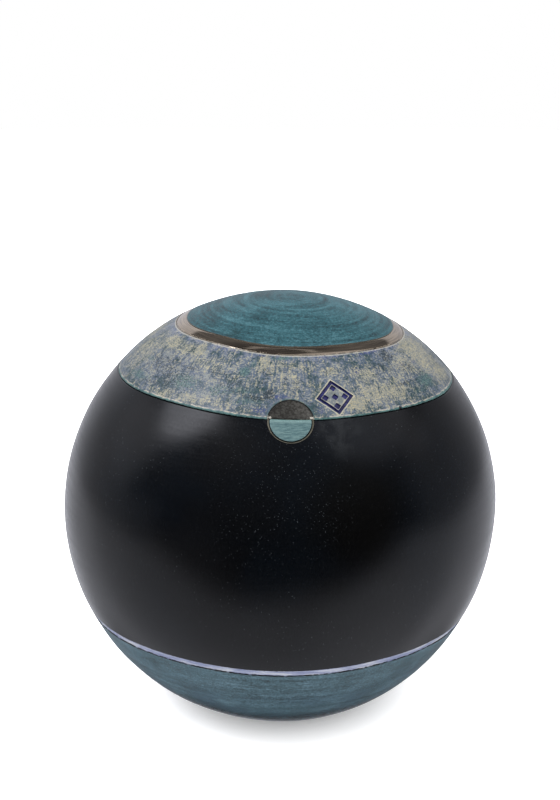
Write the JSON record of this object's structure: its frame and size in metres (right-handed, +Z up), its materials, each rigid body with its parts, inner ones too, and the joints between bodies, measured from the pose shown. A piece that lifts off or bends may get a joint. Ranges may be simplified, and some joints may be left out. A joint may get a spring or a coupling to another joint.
{
  "type": "ball urn",
  "caption": "Ball-shaped glazed stoneware urn with a flat foot, a narrow groove above its base and a domed lid that lifts off; hollow and empty.",
  "frame": {"origin": "centre of the underside, on the surface the urn stands on", "axes": "+Z up through the ball's centre, -Y towards the round medallion, +X to the right as seen from the front"},
  "size_m": [0.22, 0.22, 0.2116],
  "materials": {
    "black_satin_glaze": "satin black over the ball, with a lavender groove and a brushed teal base",
    "mottled_glaze": "mottled cream, lavender and cobalt shoulder, metallic bronze lustre band, brushed teal dome"
  },
  "bodies": {
    "root": {"urn_body": "black_satin_glaze", "urn_lid": "mottled_glaze"}
  },
  "joints": []
}
